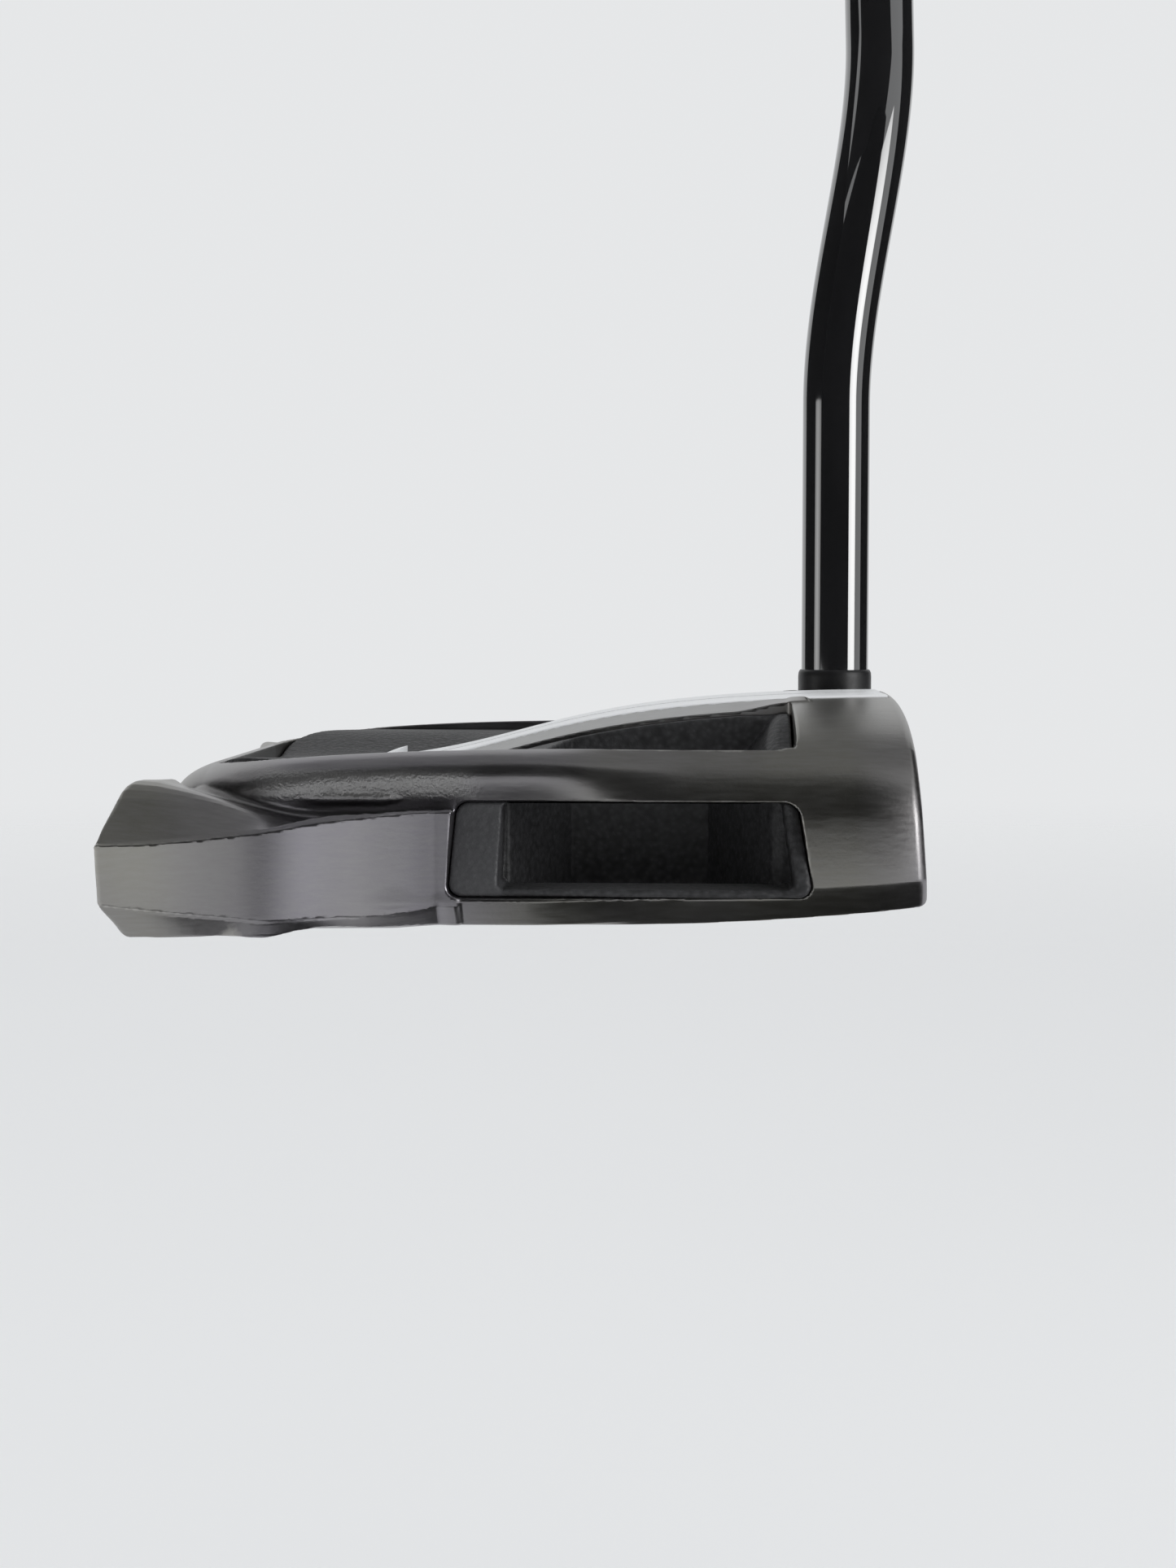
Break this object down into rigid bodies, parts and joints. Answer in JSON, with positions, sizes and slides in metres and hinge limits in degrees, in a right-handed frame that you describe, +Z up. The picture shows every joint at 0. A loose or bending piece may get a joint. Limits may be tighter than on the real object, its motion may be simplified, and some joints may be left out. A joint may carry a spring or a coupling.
{
  "type": "mallet putter",
  "caption": "Mallet golf putter: open dark metal head frame round a black moulded core, white alignment stripe, screw-in sole weights, bent black shaft and rubber grip.",
  "frame": {"origin": "middle of the flat underside of the sole plate, on the ground plane when the club is held at address", "axes": "+X along the target line out of the face, +Y to the heel, where the shaft leans, -Y to the toe, +Z up"},
  "size_m": [0.1059, 0.3546, 0.8147],
  "materials": {
    "gunmetal": "satin dark vapour coating on cast steel",
    "core_black": "pebbled moulding",
    "liner_black": "pebbled moulding",
    "damper_grey": "matt",
    "plate_black": "black anodised, fine blasted",
    "sole_screw_steel": "turned",
    "stripe_white": "satin",
    "sight_black": "satin",
    "insert_grey": "milled, dark anodised",
    "pad_amber": "matt adhesive film",
    "weight_steel": "turned",
    "weight_screw_steel": "blackened",
    "post_steel": "turned",
    "collar_black": "satin",
    "shaft_black": "gloss black",
    "tape_tan": "paper tape",
    "grip_rubber": "matt, fine raised pattern",
    "cap_black": "matt"
  },
  "bodies": {
    "club": {"head_frame": "gunmetal", "core_body": "core_black", "toe_pocket_liner": "liner_black", "heel_pocket_liner": "liner_black", "damping_block": "damper_grey", "sole_plate": "plate_black", "sole_screw_front_toe": "sole_screw_steel", "sole_screw_front_heel": "sole_screw_steel", "sole_screw_rear_toe": "sole_screw_steel", "sole_screw_rear_heel": "sole_screw_steel", "alignment_stripe": "stripe_white", "alignment_tail": "stripe_white", "sight_line": "sight_black", "face_insert": "insert_grey", "insert_bond_pad": "pad_amber", "hosel_post": "post_steel", "hosel_collar": "collar_black", "shaft": "shaft_black", "grip_tape": "tape_tan", "grip": "grip_rubber", "grip_cap": "cap_black"},
    "toe_weight": {"toe_weight": "weight_steel"},
    "toe_weight_screw": {"toe_weight_screw": "weight_screw_steel"},
    "heel_weight": {"heel_weight": "weight_steel"},
    "heel_weight_screw": {"heel_weight_screw": "weight_screw_steel"}
  },
  "joints": [
    {"name": "toe_weight_out", "type": "slide", "parent": "club", "child": "toe_weight", "axis": [0, 0, -1], "range_m": [0, 0.0047]},
    {"name": "toe_screw_turn", "type": "hinge", "parent": "toe_weight", "child": "toe_weight_screw", "pos_m": [-0.0365, -0.0415, 0.0012], "axis": [0, 0, -1], "range_deg": [0, 2418]},
    {"name": "heel_weight_out", "type": "slide", "parent": "club", "child": "heel_weight", "axis": [0, 0, -1], "range_m": [0, 0.0047]},
    {"name": "heel_screw_turn", "type": "hinge", "parent": "heel_weight", "child": "heel_weight_screw", "pos_m": [-0.0365, 0.0415, 0.0012], "axis": [0, 0, -1], "range_deg": [0, 2418]}
  ],
  "couplings": [
    {"joint": "toe_screw_turn", "follows": "toe_weight_out", "rad_per_m": 8976},
    {"joint": "heel_screw_turn", "follows": "heel_weight_out", "rad_per_m": 8976}
  ]
}
